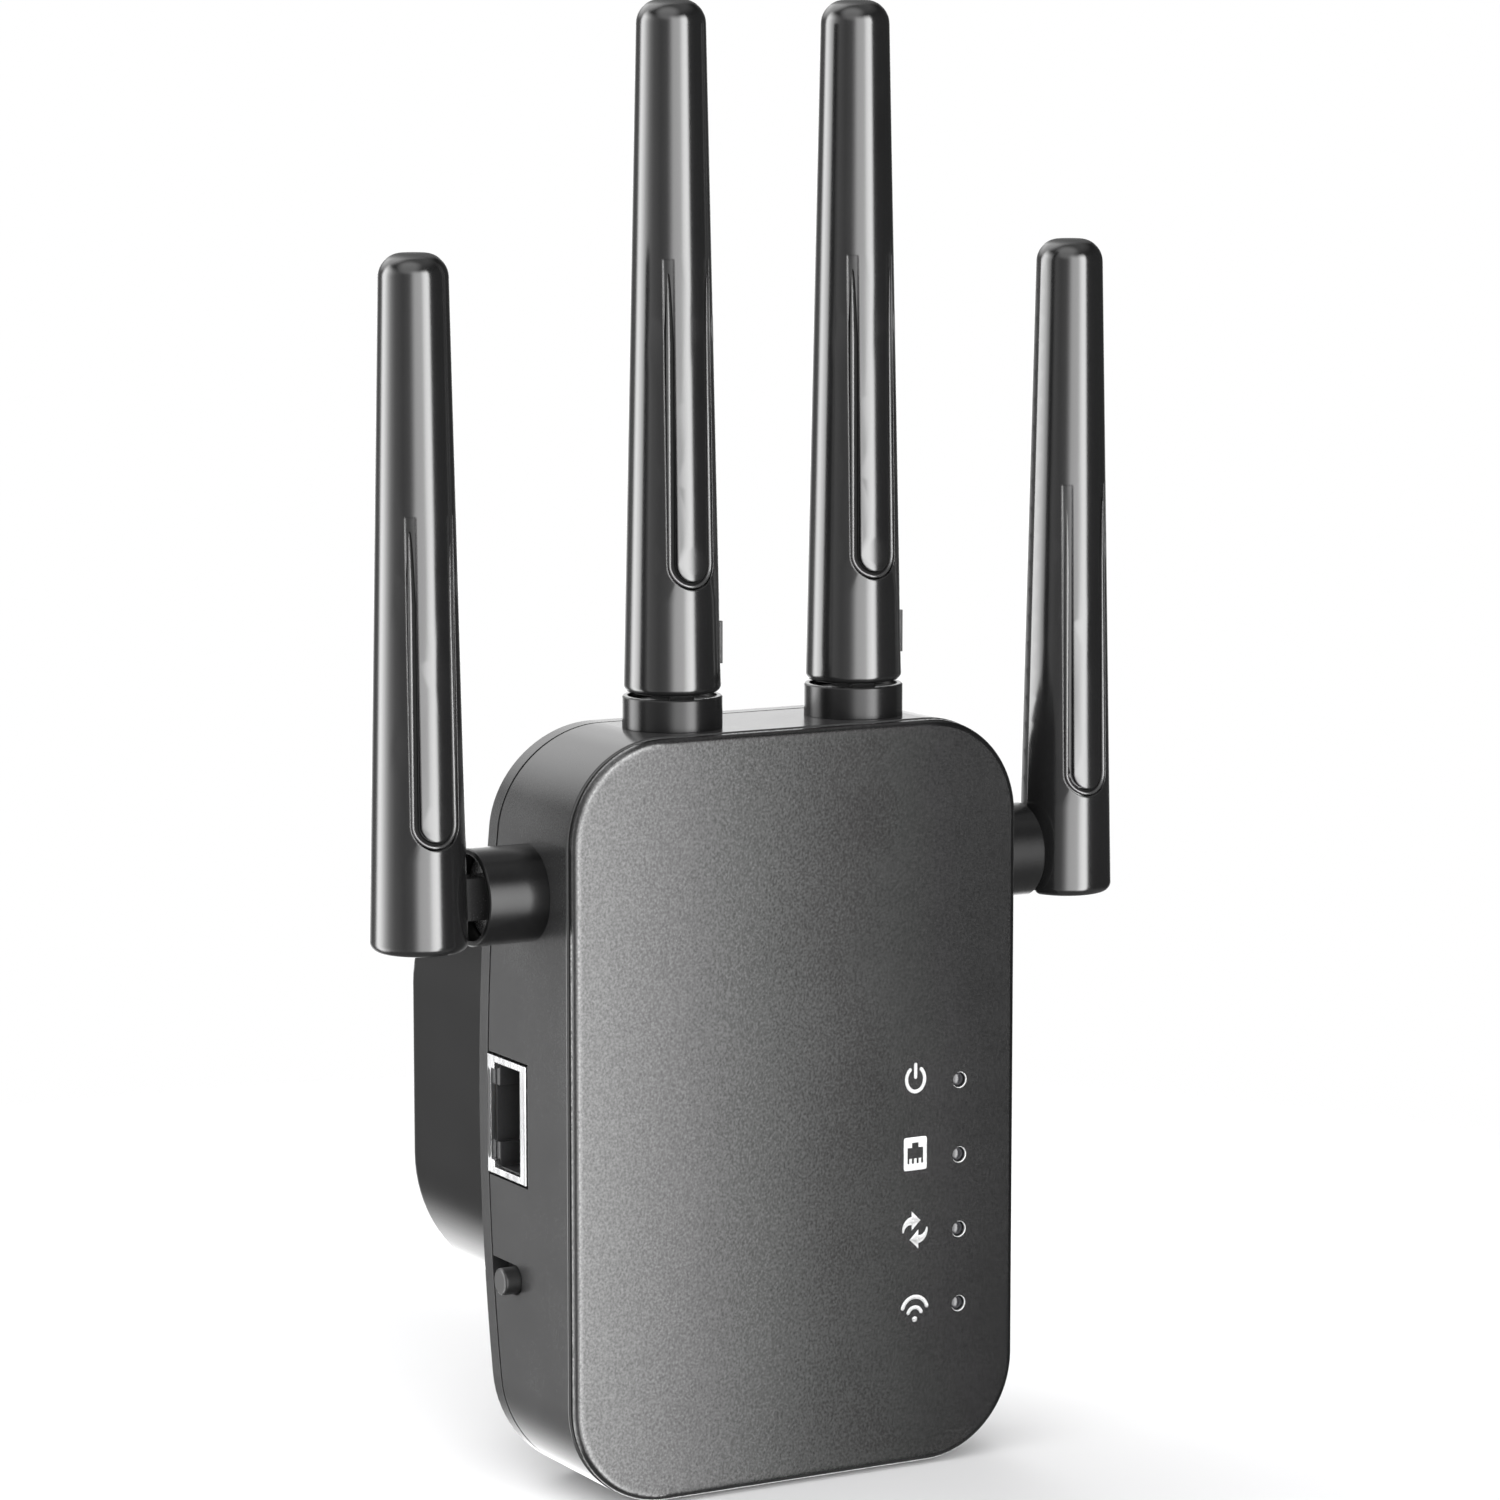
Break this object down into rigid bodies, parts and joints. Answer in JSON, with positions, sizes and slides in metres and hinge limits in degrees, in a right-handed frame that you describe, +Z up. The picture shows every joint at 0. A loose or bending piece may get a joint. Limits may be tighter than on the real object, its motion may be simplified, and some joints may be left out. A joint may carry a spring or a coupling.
{
  "type": "wifi range extender",
  "caption": "Plug-in wifi range extender: a rounded wall box with folding, swivelling antennas, a side network socket, a reset button and a row of status lights.",
  "frame": {"origin": "midway between the two plug pins, on the back face of the plug block that meets the wall", "axes": "+X to the right of someone facing the front, +Y out of the back along the plug pins into the wall, +Z up along the upright antennas"},
  "size_m": [0.0946, 0.0623, 0.1662],
  "materials": {
    "panel": "fine spark texture",
    "shell": "satin",
    "cover": "satin",
    "antenna": "semi-gloss",
    "hinge": "satin",
    "screw": "plain",
    "pin": "nickel plated",
    "sleeve": "satin",
    "board": "solder mask",
    "power_board": "bare laminate",
    "tin": "tin plated",
    "package": "moulded",
    "lamp": "clear lens",
    "clear": "polished",
    "gold": "plain",
    "button": "satin",
    "winding": "taped",
    "can": "sleeved"
  },
  "bodies": {
    "housing": {"front_panel": "panel", "body_shell": "shell", "rear_cover": "cover", "case_screws": "screw", "plug_pins": "pin", "pin_sleeves": "sleeve", "main_board": "board", "board_screws": "screw", "rf_shield": "tin", "processor": "package", "network_transformer": "package", "indicator_leds": "lamp", "light_pipes": "clear", "jack_shield": "tin", "jack_insert": "package", "jack_contacts": "gold", "reset_switch": "package", "power_board": "power_board", "power_screws": "screw", "transformer": "winding", "capacitors": "can", "rectifier": "package", "board_link": "package", "collar_top_left": "antenna", "collar_top_right": "antenna", "collar_left": "antenna", "collar_right": "antenna"},
    "reset_button": {"reset_button": "button"},
    "swivel_top_left": {"knuckle_top_left": "hinge"},
    "antenna_top_left": {"sheath_top_left": "antenna", "hinge_pin_top_left": "hinge", "radiator_top_left": "gold"},
    "swivel_top_right": {"knuckle_top_right": "hinge"},
    "antenna_top_right": {"sheath_top_right": "antenna", "hinge_pin_top_right": "hinge", "radiator_top_right": "gold"},
    "swivel_left": {"knuckle_left": "hinge"},
    "antenna_left": {"sheath_left": "antenna", "hinge_pin_left": "hinge", "radiator_left": "gold"},
    "swivel_right": {"knuckle_right": "hinge"},
    "antenna_right": {"sheath_right": "antenna", "hinge_pin_right": "hinge", "radiator_right": "gold"}
  },
  "joints": [
    {"name": "top_left_swivel", "type": "hinge", "parent": "housing", "child": "swivel_top_left", "pos_m": [-0.01165, -0.035, 0.043], "axis": [0, 0, 1], "range_deg": [-90, 90]},
    {"name": "top_left_fold", "type": "hinge", "parent": "swivel_top_left", "child": "antenna_top_left", "pos_m": [-0.01165, -0.035, 0.0524], "axis": [-1, 0, 0], "range_deg": [0, 90]},
    {"name": "top_right_swivel", "type": "hinge", "parent": "housing", "child": "swivel_top_right", "pos_m": [0.01165, -0.035, 0.043], "axis": [0, 0, -1], "range_deg": [-90, 90]},
    {"name": "top_right_fold", "type": "hinge", "parent": "swivel_top_right", "child": "antenna_top_right", "pos_m": [0.01165, -0.035, 0.0524], "axis": [-1, 0, 0], "range_deg": [0, 90]},
    {"name": "left_swivel", "type": "hinge", "parent": "housing", "child": "swivel_left", "pos_m": [-0.0285, -0.0325, 0.0253], "axis": [1, 0, 0], "range_deg": [-90, 90]},
    {"name": "left_fold", "type": "hinge", "parent": "swivel_left", "child": "antenna_left", "pos_m": [-0.04185, -0.0325, 0.0232], "axis": [0, -1, 0], "range_deg": [0, 90]},
    {"name": "right_swivel", "type": "hinge", "parent": "housing", "child": "swivel_right", "pos_m": [0.0285, -0.0325, 0.0253], "axis": [1, 0, 0], "range_deg": [-90, 90]},
    {"name": "right_fold", "type": "hinge", "parent": "swivel_right", "child": "antenna_right", "pos_m": [0.04185, -0.0325, 0.0232], "axis": [0, 1, 0], "range_deg": [0, 90]},
    {"name": "reset_press", "type": "slide", "parent": "housing", "child": "reset_button", "axis": [1, 0, 0], "range_m": [0, 0.0007], "stiffness_N_per_m": 1200}
  ]
}
